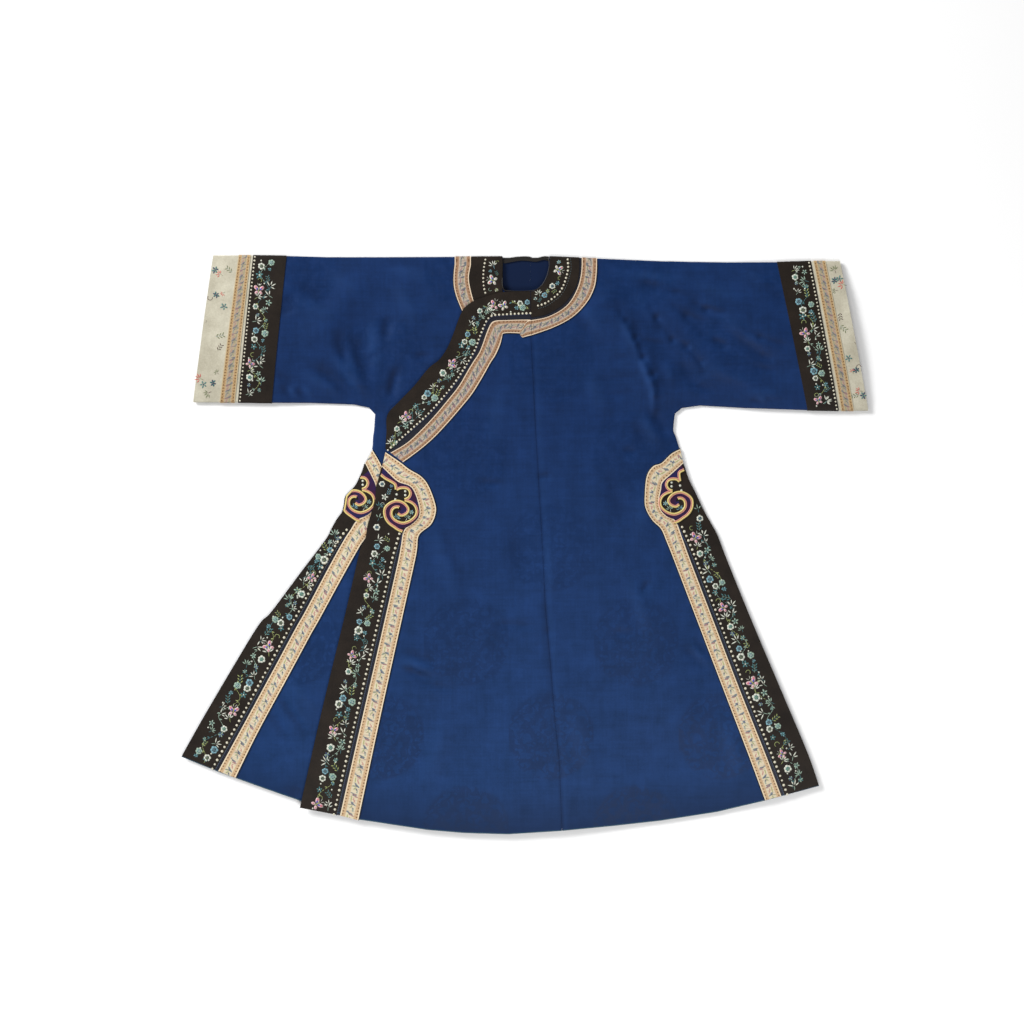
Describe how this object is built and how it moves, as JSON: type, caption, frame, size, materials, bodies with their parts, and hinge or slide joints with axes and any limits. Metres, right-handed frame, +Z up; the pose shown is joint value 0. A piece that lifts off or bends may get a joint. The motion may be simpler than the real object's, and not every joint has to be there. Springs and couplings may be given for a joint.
{
  "type": "chinese side-fastening robe",
  "caption": "Woman's wide-sleeved silk robe laid flat, front up, with an embroidered yoke, overlap, slit bands with half ruyi heads, and cuffs.",
  "frame": {"origin": "centre of the laid robe's outline, on the surface it lies on", "axes": "+X across the sleeves to the wearer's left, +Y to the collar, +Z up out of the front"},
  "size_m": [1.319, 1.1112, 0.0164],
  "materials": {
    "damask": "dark blue self-patterned silk damask with a soft sheen",
    "black_satin": "warm black silk satin, embroidered",
    "peach_ribbon": "woven silk ribbon, peach edges and a pale centre",
    "tan_ribbon": "woven silk ribbon, tan edges and a lilac centre",
    "cream_satin": "cream silk satin with small sprigs",
    "purple_satin": "dark violet satin applique edged with cord",
    "dark_binding": "narrow dark silk binding"
  },
  "bodies": {
    "root": {"body_left": "damask", "body_right": "damask", "front_overlap": "damask", "slit_band_left": "black_satin", "slit_ribbon_left": "peach_ribbon", "scroll_left": "purple_satin", "slit_band_front": "black_satin", "slit_ribbon_front": "peach_ribbon", "scroll_front": "purple_satin", "slit_band_right": "black_satin", "slit_ribbon_right": "peach_ribbon", "scroll_right": "purple_satin", "overlap_band": "black_satin", "overlap_ribbon": "peach_ribbon", "yoke_band_left": "black_satin", "yoke_band_right": "black_satin", "yoke_ribbon_left": "peach_ribbon", "yoke_ribbon_right": "peach_ribbon", "cuff_band_left": "black_satin", "cuff_band_right": "black_satin", "cuff_ribbon_left": "tan_ribbon", "cuff_ribbon_right": "tan_ribbon", "cuff_satin_left": "cream_satin", "cuff_satin_right": "cream_satin", "neck_binding": "dark_binding"}
  },
  "joints": []
}
